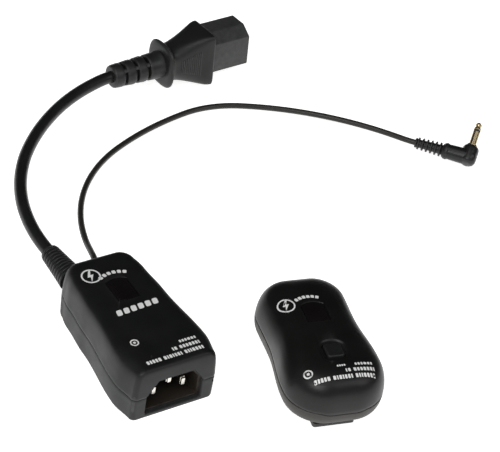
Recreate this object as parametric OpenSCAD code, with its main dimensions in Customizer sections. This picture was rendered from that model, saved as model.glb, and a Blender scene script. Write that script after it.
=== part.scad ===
// Radio trigger set: a receiver with a mains inlet, a mains cord and a sync cord,
// and a transmitter with a shoe mount.
// The origin is the middle of the receiver's underside, z is up and the receiver's front
// faces -y. Both cords leave its back, and the transmitter stands to its right (+x).

/* [Receiver case] */
// Length of the receiver case, front face to back face
rx_len = 74; // [72:0.5:76]
// Half width of the receiver case at its widest, on the parting line
rx_hw = 21.8; // [21:0.1:22.5]
// Half width at the waist
rx_waist = 19.2; // [18.5:0.1:20]
// Height of the parting line between the two receiver shells
rx_seam = 11.4; // [11:0.1:12]
// Wall thickness of the moulded shells
wall = 1.8; // [1.4:0.1:2]

/* [Mains inlet] */
// Width of the connector recess
inlet_w = 24.6; // [24.3:0.1:25]
// Height of the connector recess
inlet_h = 16.2; // [16:0.1:16.6]
// Distance between the line and neutral pins
pin_pitch = 14; // [13.8:0.1:14.2]

/* [Mains cord and plug] */
// Diameter of the mains cord
mains_d = 6.0; // [5.4:0.1:6.4]
// Length of the plug nose that enters an inlet
nose_len = 22; // [20:0.5:24]
// Width of the plug nose
nose_w = 24; // [23.6:0.1:24.2]
// Height of the plug nose
nose_h = 15.9; // [15.5:0.1:16]
// Roll of the plug about its own axis, as it lies
plug_roll = 84; // [80:1:90]

/* [Sync cord and plug] */
// Diameter of the sync cord
sync_d = 2.9; // [2.4:0.1:3.2]
// Diameter of the plug pin
jack_d = 3.5; // [3.5:0.1:3.5]
// Upward tilt of the plug pin, as it lies
jack_tilt = 30; // [0:1:40]

/* [Transmitter case] */
// Length of the transmitter case
tx_len = 73; // [71:0.5:76]
// Half width of the transmitter case at its widest
tx_hw = 21.9; // [21.5:0.1:23]
// Half width at the waist
tx_waist = 19.5; // [19.2:0.1:21]
// Height of the underside above the ground
tx_base = 9; // [9:0.1:9.5]
// Height of the parting line
tx_seam = 15.2; // [15:0.1:15.6]
// Where the transmitter stands, sideways
tx_x = 64.3; // [60:0.1:90]
// Where the transmitter stands, lengthways
tx_y = -7.6; // [-30:0.1:0]
// Heading of the transmitter
tx_yaw = -13.8; // [-20:0.2:20]

/* [Shoe mount] */
// Width of the shoe foot
foot_w = 18.6; // [18.4:0.1:18.6]
// Thickness of the shoe foot
foot_t = 2.0; // [1.9:0.1:2]
// Diameter of the lock wheel
wheel_d = 24; // [20:0.5:25]
// Number of scallops round the lock wheel
wheel_n = 24; // [18:1:28]
// Distance from the case centre to the shoe foot
foot_y = -20; // [-22:0.5:-18]

/* [Hidden] */

// colours shared by several nodes
cord_black = [0.05, 0.05, 0.055];
jack_black = [0.06, 0.06, 0.065];
case_black = [0.07, 0.07, 0.075];
steel = [0.6, 0.6, 0.62];
gold = [0.85, 0.68, 0.35];
copper = [0.75, 0.45, 0.2];
board_green = [0.1, 0.35, 0.18];
module_green = [0.1, 0.3, 0.2];
led_red = [0.6, 0.05, 0.05];
switch_red = [0.7, 0.1, 0.1];
slider_white = [0.92, 0.92, 0.9];

// half widths along each case: [distance from the front, half width]
rx_widths = [
  [0, rx_hw - 2.1], [rx_len * 0.17, rx_hw], [rx_len * 0.6, rx_waist],
  [rx_len * 0.82, rx_waist - 1.1], [rx_len, rx_waist - 3.4]];
tx_widths = [
  [0, tx_hw - 0.1], [tx_len * 0.25, tx_hw], [tx_len * 0.6, tx_waist],
  [tx_len * 0.82, tx_waist + 0.3], [tx_len, tx_waist + 0.4]];

// each shell stops this far short of the parting line
seam_gap = 0.1;
rx_lower_top = rx_seam - seam_gap;
rx_upper_base = rx_seam + seam_gap;
tx_lower_top = tx_seam - seam_gap;
tx_upper_base = tx_seam + seam_gap;

// receiver shell surfaces: [height, side inset, front inset, back inset]
rx_lower_out = [
  [0, 0.9, 0.5, 0.7], [0.3, 0.5, 0.25, 0.4], [1.2, 0.2, 0.12, 0.2], [4, 0.1, 0.06, 0.1],
  [rx_lower_top, 0, 0, 0]];
rx_lower_in = [
  [rx_lower_top, wall, wall, wall], [4, wall + 0.1, wall + 0.06, wall + 0.1],
  [2.6, wall + 0.5, wall + 0.3, wall + 0.4], [wall, wall + 1.2, wall + 0.7, wall + 1]];
rx_upper_in = [
  [24.6, 15, 9, 12], [24.3, 9.8, 5.6, 8.5], [23.2, 6, 3.6, 5.2], [21.4, 3.9, 2.6, 3.6],
  [18.8, 2.7, 2.1, 2.6], [rx_upper_base, wall, wall, wall]];
rx_upper_out = [
  [rx_upper_base, 0, 0, 0], [15, 0.15, 0.04, 0.1], [19, 0.46, 0.1, 0.3],
  [22.4, 1.0, 0.25, 0.73], [24.5, 1.85, 0.45, 1.45], [25.6, 3.05, 0.9, 2.4],
  [26.1, 4.7, 1.7, 3.6], [26.4, 7.4, 3.2, 5.4]];

// transmitter shell surfaces: [height, inset all round]
tx_lower_out = [
  [tx_base, 1.9], [tx_base + 0.5, 1.0], [tx_base + 1.6, 0.55], [tx_base + 3.4, 0.15],
  [tx_lower_top, 0]];
tx_lower_in = [
  [tx_lower_top, wall], [tx_base + 3.6, wall + 0.25], [tx_base + 2.4, wall + 0.6],
  [tx_base + wall, wall + 1.6]];
tx_upper_in = [
  [28.45, 14], [28.15, 10.4], [27.05, 6.8], [24.8, 4.1], [21.3, 2.6], [tx_upper_base, wall]];
tx_upper_out = [
  [tx_upper_base, 0], [19, 0.2], [22.3, 0.75], [25, 1.7], [27.25, 3.2], [28.75, 5.4],
  [29.65, 8.2], [30.15, 11.5], [30.3, 14.5]];

// cord paths: [length, turn, roll of the turning plane]; a positive turn bends to the left
mains_path = [
  [14.9, 0, 0], [47.9, -30.2, 0], [10.8, -8.2, -37.2], [10.8, -8.3, 30.9],
  [37.1, -16.8, 0], [33.8, -18.3, 0], [5.5, -11.2, 0], [14, 0, 0]];
sync_path = [
  [8.8, 0, 0], [8, -16, 90], [8.8, 0, 0], [8, 12.4, 90], [76, -47.2, 0],
  [48.5, -16.8, 0], [30.7, -35.2, 0], [81.5, -32, 0], [8, 8, 0], [9, 0, 0]];
// where each cord starts, and its heading turned from +x towards +y
mains_start = [-9.4, 81.5, 13.5];
mains_heading = 92.9;
sync_start = [3.1, 71.5, 13];
sync_heading = 73.5;
// bores that clear the cords
mains_bore = mains_d / 2 + 0.1;
sync_bore = sync_d / 2 + 0.1;

// ---- outlines and lofts ----
function mix(from, to, t) = from + (to - from) * t;
function ease(t) = (1 - cos(180 * t)) / 2;
function half_width(y, knots, i = 0) =
  i >= len(knots) - 2 || y <= knots[i + 1][0]
    ? mix(knots[i][1], knots[i + 1][1],
        ease((y - knots[i][0]) / (knots[i + 1][0] - knots[i][0])))
    : half_width(y, knots, i + 1);

// right half of a case outline, front to back, with rounded front and back corners
function right_side(knots, length, front_r, back_r, corner_steps, side_steps) = concat(
  [for (i = [0:corner_steps]) let (a = -90 + 90 * i / corner_steps)
    [half_width(front_r, knots) - front_r + front_r * cos(a), front_r + front_r * sin(a)]],
  [for (i = [1:side_steps - 1]) let (y = front_r + (length - front_r - back_r) * i / side_steps)
    [half_width(y, knots), y]],
  [for (i = [0:corner_steps]) let (a = 90 * i / corner_steps, y = length - back_r)
    [half_width(y, knots) - back_r + back_r * cos(a), y + back_r * sin(a)]]);
function mirrored(side) = concat(side,
  [for (i = [len(side) - 1:-1:0]) [-side[i][0], side[i][1]]]);

// an outline shrunk by the insets of one level: [height, side, front, back]
function ring(outline, half, length, level) = [for (p = outline)
  [p[0] * (1 - level[1] / half),
    level[2] + p[1] * (length - level[2] - level[3]) / length, level[0]]];

// skin over rings that all have the same number of points
module loft(rings) {
  count = len(rings[0]);
  last = len(rings) - 1;
  quads = [for (j = [0:last - 1], i = [0:count - 1]) [j * count + i, j * count + (i + 1) % count]];
  polyhedron(points = [for (r = rings, p = r) p],
    faces = concat([[for (i = [0:count - 1]) i]],
      [for (q = quads) [q[0], q[0] + count, q[1] + count]],
      [for (q = quads) [q[0], q[1] + count, q[1]]],
      [[for (i = [count - 1:-1:0]) last * count + i]]));
}

rx_outline = mirrored(right_side(rx_widths, rx_len, 2.4, 6.5, 4, 9));
tx_outline = mirrored(right_side(tx_widths, tx_len, 16.6, 13.7, 6, 7));
module rx_loft(levels) loft([for (v = levels) ring(rx_outline, rx_hw, rx_len, v)]);
module tx_loft(levels) translate([0, -tx_len / 2, 0])
  loft([for (v = levels) ring(tx_outline, tx_hw, tx_len, [v[0], v[1], v[1], v[1]])]);

// ---- flat shapes ----
module rounded_rect(width, height, corner_r) polygon([for (q = [0:3], i = [0:5])
  let (a = 90 * q + 90 * i / 5,
    x = (q == 0 || q == 3 ? 1 : -1) * (width / 2 - corner_r),
    y = (q < 2 ? 1 : -1) * (height / 2 - corner_r))
  [x + corner_r * cos(a), y + corner_r * sin(a)]]);

// arch-topped outline, base on y = 0
module arch(width, height, rise) {
  radius = (width * width / 4 + rise * rise) / (2 * rise);
  intersection() {
    translate([-width / 2, 0]) square([width, height]);
    translate([0, height - radius]) circle(r = radius, $fn = 96);
  }
}

// front view of an appliance inlet or its plug, with two cut corners on top
module inlet_face(width, height, cut_w, cut_h, corner_r) polygon(concat(
  [for (side = [-1, 1], i = [0:4]) let (a = 225 + 45 * side + 90 * i / 4)
    [side * (width / 2 - corner_r) + corner_r * cos(a),
      -height / 2 + corner_r + corner_r * sin(a)]],
  [[width / 2, height / 2 - cut_h], [width / 2 - cut_w, height / 2],
    [-width / 2 + cut_w, height / 2], [-width / 2, height / 2 - cut_h]]));

module along_y(y0, y1) translate([0, y1, 0]) rotate([90, 0, 0])
  linear_extrude(y1 - y0) children();

// rod on the x axis
module rod_x(x, radius, length, fn) translate([x, 0, 0]) rotate([0, 90, 0])
  cylinder(r = radius, h = length, $fn = fn);

// [radius, distance] profile turned about the x axis
module turned_x(profile, fn) rotate([0, 90, 0]) rotate_extrude($fn = fn) polygon(profile);

// ---- cord runs ----
function rot_z(a) = [[cos(a), -sin(a), 0], [sin(a), cos(a), 0], [0, 0, 1]];
function rot_x(a) = [[1, 0, 0], [0, cos(a), -sin(a)], [0, sin(a), cos(a)]];
// end of an arc that starts along +x
function chord(length, turn) = turn == 0 ? [length, 0, 0] :
  let (radius = length * 180 / (abs(turn) * PI))
    [radius * sin(abs(turn)), sign(turn) * radius * (1 - cos(turn)), 0];
// stations along a path, each a point and a heading matrix
function stations(path, i = 0, point = [0, 0, 0], heading = rot_z(0)) =
  i >= len(path) ? [[point, heading]] :
  let (length = path[i][0], turn = path[i][1], roll = path[i][2],
    steps = turn == 0 ? 1 : ceil(length / 5), rolled = heading * rot_x(roll))
  concat(
    [for (k = [0:steps - 1])
      [point + rolled * chord(length * k / steps, turn * k / steps),
        rolled * rot_z(turn * k / steps) * rot_x(-roll)]],
    stations(path, i + 1, point + rolled * chord(length, turn),
      rolled * rot_z(turn) * rot_x(-roll)));
module run(path, radius) loft([for (s = stations(path)) [for (k = [0:15])
  s[0] + s[1] * [0, radius * cos(22.5 * k), radius * sin(22.5 * k)]]]);
// start of the last leg of a path
module at_last_leg(path, i = 0) {
  if (i >= len(path) - 1) children();
  else {
    turn = path[i][1];
    roll = path[i][2];
    rotate([roll, 0, 0]) translate(chord(path[i][0], turn)) rotate([0, 0, turn])
      rotate([-roll, 0, 0]) at_last_leg(path, i + 1) children();
  }
}

// ---- frames ----
// receiver frame: y = 0 on its front face
module at_rx() translate([0, -rx_len / 2, 0]) children();
// transmitter frame: origin on the ground below the case centre
module at_tx() at_rx() translate([tx_x, tx_y, 0]) rotate([0, 0, tx_yaw]) children();
module at_foot(z = 0) at_tx() translate([0, foot_y, z]) children();
// cord frames, inside the receiver frame: x runs out along the cord
module mains_frame() translate(mains_start) rotate([0, 0, mains_heading]) children();
module sync_frame() translate(sync_start) rotate([0, 0, sync_heading]) children();
// plug frames: x runs along the plug, away from its cord
module at_plug() at_rx() mains_frame() at_last_leg(mains_path)
  rotate([plug_roll, 0, 0]) children();
module at_jack() at_rx() sync_frame() at_last_leg(sync_path)
  rotate([jack_tilt, 0, 0]) children();
module at_each(places, z) for (p = places) translate([p[0], p[1], z]) children();

// ---- parts found in both cases ----
board_t = 1.6;
part_gap = 0.05; // between a board and the parts on it
lead_x = 0.9; // LED leads, either side of its centre
dip_pitch = 2.54;

// bosses and screw holes of the shells
module upper_bosses(places, z, height) at_each(places, z) cylinder(r = 2.6, h = height, $fn = 32);
module upper_pilots(places, z, depth) at_each(places, z) cylinder(r = 1.05, h = depth, $fn = 24);
module lower_bosses(places, base, top) at_each(places, base + 1)
  cylinder(r = 2.9, h = top - base - 1, $fn = 32);
module lower_screw_holes(places, base, depth) at_each(places, base - 1) {
  cylinder(r = 2.3, h = 3.4, $fn = 32);
  cylinder(r = 1.15, h = depth, $fn = 24);
}
// cross-slotted screw, head down
module case_screw(length) difference() {
  union() {
    cylinder(r = 2.1, h = 1.5, $fn = 32);
    translate([0, 0, 1.4]) cylinder(r = 1.0, h = length, $fn = 24);
  }
  for (a = [0, 90]) rotate([0, 0, a]) translate([-1.2, -0.25, -0.1]) cube([2.4, 0.5, 0.9]);
}

// stacked arched plates: [y, z, thickness, width, height]
module led_window(plates, rise) for (p = plates)
  translate([0, p[0], p[1]]) linear_extrude(p[2]) arch(p[3], p[4], rise);
module led(lead_len) {
  cylinder(r = 1.5, h = 3, $fn = 32);
  translate([0, 0, 3]) sphere(r = 1.5, $fn = 32);
  cylinder(r = 1.9, h = 0.8, $fn = 32);
  for (x = [-lead_x, lead_x])
    translate([x - 0.2, -0.2, -lead_len]) cube([0.4, 0.4, lead_len + 0.5]);
}
module coil(radius, height, turns, wire_r)
  linear_extrude(height = height, twist = -360 * turns, slices = 14 * turns)
    translate([radius, 0]) circle(r = wire_r, $fn = 8);

// bank of four slide switches facing down, with pins up to just below the board
function dip_x(i) = dip_pitch * (i - 1.5);
module dip_body(board_height) {
  difference() {
    translate([-5.7, -4.8, 0]) cube([11.4, 9.6, 5.4]);
    for (i = [0:3]) translate([dip_x(i) - 0.8, -1.75, -1]) cube([1.6, 3.5, 2.4]);
  }
  for (i = [0:3], y = [-3.81, 3.81])
    translate([dip_x(i), y, 5.3]) cylinder(r = 0.25, h = board_height - 5.33, $fn = 16);
}
module dip_slider(i) translate([dip_x(i) - 0.6, -1.5, -0.35]) {
  cube([1.2, 1.3, 1.0]);
  translate([-0.1, -0.1, 0.65]) cube([1.4, 1.5, 1.0]);
}
// clearance cut round a bank, from height z
module dip_opening(bank_y, z, height) translate([-6, bank_y - 5.1, z]) cube([12, 10.2, height]);

// ---- receiver ----
rx_screws = [[11.1, 29.5], [-11.1, 29.5], [12, 61], [-12, 61]];
rx_board_z = 8;
rx_board_top = rx_board_z + board_t;
rx_part_z = rx_board_top + part_gap;
rx_led_y = 50.5;
rx_led_z = 17;
rx_dip_y = 44;
rx_dip_z = 1.3;
inlet_z = 10.7;
housing_size = [27.8, 20.8, 18.5];
housing_place = [-housing_size[0] / 2, 2.6, 1.9];
housing_gap = 0.1;
// pins of the inlet and contacts of the plug: [sideways, height from the centre]
pin_places = [[-pin_pitch / 2, -2], [pin_pitch / 2, -2], [0, 2]];

// cuts through both shells for the inlet and the two cord boots
module rx_openings() {
  along_y(-1, 4) translate([0, 10.4]) inlet_face(26.5, 17, 5, 7, 1.2);
  mains_frame() translate([-6.1, 0, 0]) rotate([0, -90, 0]) cylinder(r = 5.3, h = 6.6, $fn = 48);
  sync_frame() translate([4.2, 0, 0]) rotate([0, -90, 0]) cylinder(r = 2.65, h = 10, $fn = 48);
}
module rx_top_shell() color(case_black) at_rx() difference() {
  union() {
    rx_loft(concat(rx_upper_in, rx_upper_out));
    upper_bosses(rx_screws, rx_upper_base, 12.7);
  }
  rx_openings();
  // room for the top of the inlet housing
  translate([housing_place[0] - housing_gap, housing_place[1] - housing_gap, 15])
    cube([housing_size[0] + 2 * housing_gap, housing_size[1] + 2 * housing_gap, 5.5]);
  translate([0, 42.3, 20]) linear_extrude(10) arch(10, 14, 1.6);
  upper_pilots(rx_screws, 5, 14);
}
module rx_bottom_shell() color([0.2, 0.2, 0.21]) at_rx() difference() {
  union() {
    rx_loft(concat(rx_lower_out, rx_lower_in));
    lower_bosses(rx_screws, 0, rx_lower_top);
  }
  rx_openings();
  lower_screw_holes(rx_screws, 0, 14);
  dip_opening(rx_dip_y, -1, 4);
  // notch at the front right corner
  translate([18.5, -0.5, 8.6]) cube([4, 2.2, 1.7]);
}
module rx_led_window() color([0.12, 0.03, 0.03]) at_rx() led_window([
  [42.4, 24.7, 1.65, 9.8, 13.8], [41.4, 23.5, 0.75, 11.4, 15.4],
  [42.7, 24.2, 0.6, 9.2, 13.2]], 1.6);
module rx_led() color(led_red) at_rx() translate([0, rx_led_y, rx_led_z])
  led(rx_led_z - rx_board_top);
module rx_circuit_board() color(board_green) at_rx() difference() {
  translate([-14, 33.2, rx_board_z]) cube([28, 24.6, board_t]);
  for (x = [-lead_x, lead_x]) translate([x, rx_led_y, 5]) cylinder(r = 0.4, h = 10, $fn = 24);
}
module rx_supply_capacitor() color([0.75, 0.6, 0.1]) at_rx()
  translate([-13.2, 34, rx_part_z]) linear_extrude(10.5)
    translate([3, 9]) rounded_rect(6, 18, 0.8);
module rx_smoothing_capacitor() color([0.1, 0.12, 0.3]) at_rx() translate([9, 38.4, rx_part_z]) {
  cylinder(r = 4, h = 9.6, $fn = 48);
  translate([0, 0, 9.6]) cylinder(r = 3.4, h = 0.4, $fn = 48);
}
// upright board with two chips on its left face
module rx_rf_module() color(module_green) at_rx() {
  translate([3.6, 45, rx_part_z]) cube([1, 12, 9]);
  translate([2.2, 47, 11.5]) cube([1.4, 3.5, 4]);
  translate([2.2, 53, 12]) cube([1.4, 2.6, 2.6]);
}
module rx_antenna_coil() color(copper) at_rx()
  translate([9.2, 50.5, rx_board_top + 0.1]) coil(2.6, 9, 5, 0.45);
module rx_trigger_triac() color([0.08, 0.08, 0.08]) at_rx() {
  translate([-5.6, 36, rx_part_z]) cube([4.4, 4.4, 8]);
  translate([-5.1, 37, rx_part_z + 8]) cube([3.4, 1.2, 1.4]);
}
module at_rx_dip() at_rx() translate([0, rx_dip_y, rx_dip_z]) children();
module rx_dip_switch_body() color(switch_red) at_rx_dip() dip_body(rx_board_z - rx_dip_z);
module rx_dip_slider_1() color(slider_white) at_rx_dip() dip_slider(0);
module rx_dip_slider_2() color(slider_white) at_rx_dip() dip_slider(1);
module rx_dip_slider_3() color(slider_white) at_rx_dip() dip_slider(2);
module rx_dip_slider_4() color(slider_white) at_rx_dip() dip_slider(3);
module rx_case_screws() color(steel) at_rx() at_each(rx_screws, 0.85) case_screw(16);

module inlet_housing() color([0.1, 0.09, 0.085]) at_rx() difference() {
  translate(housing_place) cube(housing_size);
  along_y(0, 19) translate([0, inlet_z]) inlet_face(inlet_w, inlet_h, 4.7, 6.5, 1);
  for (p = pin_places) translate([p[0] - 1.03, 18, inlet_z + p[1] - 2.03])
    cube([2.06, 8, 4.06]);
}
// flat pin with a narrower front end and a tail at the back
module blade() {
  translate([-1, 6.2, -2]) cube([2, 19.8, 4]);
  along_y(5.2, 6.3) rounded_rect(1.6, 3.4, 0.4);
  translate([-0.4, 25.8, -1.2]) cube([0.8, 5, 2.4]);
}
module inlet_pins() color([0.8, 0.76, 0.66]) at_rx()
  for (p = pin_places) translate([p[0], 0, inlet_z + p[1]]) blade();
module mains_conductors() color([0.45, 0.25, 0.12]) at_rx()
  for (p = [[-8.2, 12], [-5.9, 12], [-7.05, 14.1]])
    translate([p[0], 69, p[1]]) rotate([90, 0, 0]) cylinder(r = 1.1, h = 16, $fn = 24);

// ---- mains cord ----
boot_len = 19.6;
boot_d0 = 12.4; // at the case
boot_d1 = 8.8; // at the cord end
boot_ribs = 9;
// one rib: [place as a share of the rib pitch, depth below the taper]
rib_shape = [[0, 0.32], [0.1, 0], [0.62, 0], [0.78, 0.32]];
relief_len = 27.9;
// plug body: [place along the plug, half width, half height, squareness]
plug_sections = [
  [relief_len, 9.2, 8.8, 3], [28.3, 11.2, 10.6, 3], [30.3, 11.2, 10.6, 3],
  [30.9, 8.8, 8.2, 3], [33.4, 8.9, 8, 3.2], [39, 10.4, 8.1, 3.6], [44.6, 12.2, 8.6, 4.6],
  [49, 13.4, 9.3, 7], [50.6, 13.9, 9.9, 10], [54, 14.1, 10.1, 10], [54.4, 13.9, 9.9, 10]];

module mains_boot() color(cord_black) at_rx() mains_frame() translate([-6.9, 0, 0]) {
  difference() {
    turned_x(concat([[0, 0]],
      [for (i = [0:boot_ribs - 1], q = rib_shape) let (s = boot_len * (i + q[0]) / boot_ribs)
        [mix(boot_d0, boot_d1, s / boot_len) / 2 - q[1], s]],
      [[boot_d1 / 2 - 0.5, boot_len], [0, boot_len]]), 64);
    rod_x(-1, mains_bore, boot_len + 2, 48);
  }
  // collar inside the case
  difference() {
    rod_x(-5, 5.1, 5.1, 48);
    rod_x(-6, mains_bore, 9, 48);
  }
}
module mains_cord() color(cord_black) at_rx() mains_frame() run(mains_path, mains_d / 2);
// flaring sleeve with slits on four sides
module plug_strain_relief() color(cord_black) at_plug() difference() {
  turned_x([[0, 0], [5.1, 0], [5.7, 0.7], [6.9, relief_len], [0, relief_len]], 64);
  rod_x(-1, mains_bore, 18, 48);
  for (i = [0:2], side = [-1, 1]) {
    translate([6 + 6.4 * i, side * 6.4, 0]) cube([1.5, 4.2, 16], center = true);
    translate([9.2 + 6.4 * i, 0, side * 6.6]) cube([1.5, 16, 4.2], center = true);
  }
}
// superellipse across the plug axis, from one row of plug_sections
function plug_ring(section) = [for (i = [0:35])
  let (c = cos(10 * i), s = sin(10 * i), power = 2 / section[3])
  [section[0], section[1] * sign(c) * pow(abs(c), power),
    section[2] * sign(s) * pow(abs(s), power)]];
// nose shape along the plug axis; extra widens and heightens it
module nose_block(x, length, extra = 0) translate([x, 0, 0]) rotate([90, 0, 90])
  linear_extrude(length) inlet_face(nose_w + extra, nose_h + extra, 4.3, 6, 0.8);
module plug_body() color(case_black) at_plug() difference() {
  loft([for (section = plug_sections) plug_ring(section)]);
  nose_block(47.2, 9, 0.04);
  // grip grooves, wider towards the nose
  for (side = [-1, 1], i = [0:3]) translate([37 + 3 * i, 0, side * (8.4 + 0.27 * i)])
    cube([1.2, 9 + 2.2 * i, 1.6], center = true);
}
module plug_nose() color([0.08, 0.08, 0.085]) at_plug() difference() {
  nose_block(47.4, nose_len + 7);
  for (p = pin_places) translate([56.2, p[0] - 1.7, p[1] - 2.6]) cube([30, 3.4, 5.2]);
}
module plug_contacts() color([0.78, 0.72, 0.6]) at_plug()
  for (p = pin_places) translate([56.5, p[0], p[1]]) difference() {
    translate([0, -1.6, -2.5]) cube([14, 3.2, 5]);
    translate([2, -1.05, -2.05]) cube([14, 2.1, 4.1]);
  }

// ---- sync cord ----
jack_relief_len = 14.6;
jack_grip_len = 12.6;
elbow_x = jack_relief_len + jack_grip_len;
elbow_r = 4.1;
elbow_len = 6;
sleeve_len = 8.6;
insulator_len = 1;

module sync_boot() color(cord_black) at_rx() sync_frame() difference() {
  turned_x([[0, -3.8], [2.5, -3.8], [2.5, 3], [2.2, 8.2], [1.9, 8.6], [0, 8.6]], 48);
  rod_x(-5, sync_bore, 20, 32);
}
module sync_cord() color(cord_black) at_rx() sync_frame() run(sync_path, sync_d / 2);
module jack_strain_relief() color(jack_black) at_jack() difference() {
  // six ribs, growing towards the plug
  turned_x(concat([[0, 0], [2.3, 0], [2.6, 0.5]],
    [for (i = [0:5], q = [0:3]) [q == 0 || q == 3 ? 2.15 : mix(2.9, 3.6, i / 5),
      1.2 + 2.2 * i + [0, 0.15, 1.15, 1.3][q]]],
    [[3.7, jack_relief_len], [0, jack_relief_len]]), 48);
  rod_x(-1, sync_bore, 12, 32);
}
module jack_body() color(jack_black) at_jack() {
  translate([jack_relief_len, 0, 0]) turned_x([[0, 0], [3.7, 0], [4.15, 0.5], [4.15, 1.9],
    [3.9, 2.3], [elbow_r, jack_grip_len], [0, jack_grip_len]], 48);
  translate([elbow_x, 0, 0]) sphere(r = elbow_r, $fn = 48);
  translate([elbow_x, 0, 0]) rotate([-90, 0, 0]) rotate_extrude($fn = 48)
    polygon([[0, 0], [elbow_r, 0], [elbow_r, 5.2], [3.7, elbow_len], [0, elbow_len]]);
}
// pin frame: z runs out of the elbow, at right angles to the cord
module on_jack(z = 0) at_jack() translate([elbow_x, elbow_len, 0]) rotate([-90, 0, 0])
  translate([0, 0, z]) children();
module jack_sleeve() color(gold) on_jack() {
  cylinder(r = 2.7, h = 0.8, $fn = 48);
  cylinder(r = jack_d / 2, h = sleeve_len, $fn = 48);
}
module jack_insulator() color([0.05, 0.05, 0.05]) on_jack(sleeve_len)
  cylinder(r = jack_d / 2 - 0.02, h = insulator_len, $fn = 48);
module jack_tip() color(gold) on_jack(sleeve_len + insulator_len) rotate_extrude($fn = 48)
  polygon([[0, 0], [jack_d / 2, 0], [jack_d / 2, 0.9], [1.15, 1.7], [1.65, 2.6],
    [1.6, 3.1], [0.6, 4.3], [0, 4.4]]);

// ---- transmitter ----
tx_front_screws = [[13.4, -27.6], [-13.4, -27.6]];
tx_back_screws = [[14.2, 8.5], [-14.2, 8.5]];
tx_screws = concat(tx_front_screws, tx_back_screws);
tx_board_z = 18.4;
tx_board_top = tx_board_z + board_t;
tx_part_z = tx_board_top + part_gap;
tx_dip_y = 3;
tx_dip_z = tx_base + 1.2;
button_y = -14.5;
battery_y = 22;
battery_z = 16.2;
battery_len = 27;
door_hw = 15.5;
door_y = 14.5;
door_gap = 0.25;

module tx_top_shell() color(cord_black) at_tx() difference() {
  union() {
    tx_loft(concat(tx_upper_in, tx_upper_out));
    upper_bosses(tx_front_screws, tx_upper_base, 9);
    upper_bosses(tx_back_screws, tx_upper_base, 10.2);
  }
  translate([0, 3.5, 24]) linear_extrude(10) arch(10.4, 12, 1.9);
  translate([0, button_y, 24]) linear_extrude(10) rounded_rect(8.5, 8.5, 1.4);
  // shallow arched recess round the button
  translate([0, -20.2, 29.7]) linear_extrude(3) arch(11.6, 12.4, 3.4);
  upper_pilots(tx_screws, 10, 12);
}
module tx_bottom_shell() color([0.12, 0.115, 0.11]) at_tx() difference() {
  union() {
    tx_loft(concat(tx_lower_out, tx_lower_in));
    lower_bosses(tx_screws, tx_base, tx_lower_top);
  }
  lower_screw_holes(tx_screws, tx_base, 12);
  translate([0, foot_y, 5]) cylinder(r = hub_r + 0.12, h = 10, $fn = 64);
  for (x = shoe_screw_x) translate([x, foot_y, 5]) cylinder(r = 0.85, h = 10, $fn = 24);
  dip_opening(tx_dip_y, 5, 10);
  translate([-door_hw - door_gap, door_y - door_gap, 5])
    cube([2 * (door_hw + door_gap), 40, tx_base + 1.7 - 5]);
}
module tx_led_window() color([0.15, 0.03, 0.03]) at_tx() led_window([
  [3.6, 28.55, 1.7, 10.2, 11.8], [2.6, 27.15, 0.75, 11.8, 13.6],
  [3.9, 27.85, 0.8, 9.6, 11.2]], 1.9);
module tx_led() color(led_red) at_tx() translate([0, 9.5, 21.2]) led(1.1);
module tx_circuit_board() color(board_green) at_tx() {
  translate([-16, -24.6, tx_board_z]) cube([32, 28.4, board_t]);
  translate([-11.2, 3.7, tx_board_z]) cube([22.4, 11.6, board_t]);
}
module tact_switch() color([0.3, 0.3, 0.32]) at_tx() translate([0, button_y, 0]) {
  translate([-3, -3, tx_part_z]) cube([6, 6, 3.6]);
  translate([0, 0, 23.6]) cylinder(r = 1.7, h = 0.5, $fn = 32);
}
// cap with a flange and a stem below it
module test_button() color([0.09, 0.09, 0.095]) at_tx() translate([0, button_y, 26.75]) {
  linear_extrude(3.9) rounded_rect(7.7, 7.7, 1.1);
  linear_extrude(0.8) rounded_rect(10, 10, 1);
  translate([0, 0, -1.95]) cylinder(r = 1.6, h = 2.2, $fn = 32);
}
// flat board with two chips on top
module tx_rf_module() color(module_green) at_tx() {
  translate([-14.5, -14, tx_part_z]) cube([8, 17, 1]);
  translate([-13.5, -4, 21]) cube([4, 4.4, 2]);
  translate([-13.4, -11.5, 21]) cube([3.4, 3, 1.4]);
}
module tx_antenna_coil() color(copper) at_tx()
  translate([10.8, -9, tx_board_top + 0.2]) coil(2.4, 5, 3, 0.4);
module at_tx_dip() at_tx() translate([0, tx_dip_y, tx_dip_z]) children();
module tx_dip_switch_body() color(switch_red) at_tx_dip() dip_body(tx_board_z - tx_dip_z);
module tx_dip_slider_1() color(slider_white) at_tx_dip() dip_slider(0);
module tx_dip_slider_2() color(slider_white) at_tx_dip() dip_slider(1);
module tx_dip_slider_3() color(slider_white) at_tx_dip() dip_slider(2);
module tx_dip_slider_4() color(slider_white) at_tx_dip() dip_slider(3);
module tx_case_screws() color(steel) at_tx() at_each(tx_screws, tx_base + 0.85) case_screw(8.5);
module battery() color([0.2, 0.2, 0.5]) at_tx()
  translate([-13.9, battery_y, battery_z]) rotate([0, 90, 0]) {
    cylinder(r = 5.15, h = battery_len, $fn = 64);
    translate([0, 0, battery_len]) cylinder(r = 3, h = 0.9, $fn = 48);
  }
module battery_contacts() color([0.8, 0.78, 0.72]) at_tx() {
  for (x = [-14.8, 14.05]) translate([x, battery_y - 3.5, 12.6]) cube([0.4, 7, 7.4]);
  translate([-14.45, battery_y, battery_z]) rotate([0, 90, 0])
    cylinder(r = 2, h = 0.5, $fn = 32);
}
// piece of the lower shell's outer form, with five grooves across its underside
module battery_door() color([0.1, 0.1, 0.105]) at_tx() difference() {
  intersection() {
    tx_loft(tx_lower_out);
    translate([-door_hw, door_y, 5]) cube([2 * door_hw, 40, tx_base + 1.5 - 5]);
  }
  for (i = [0:4]) translate([-5, 28 - 1.6 * i, tx_base - 1]) cube([10, 0.7, 1.4]);
}

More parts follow.
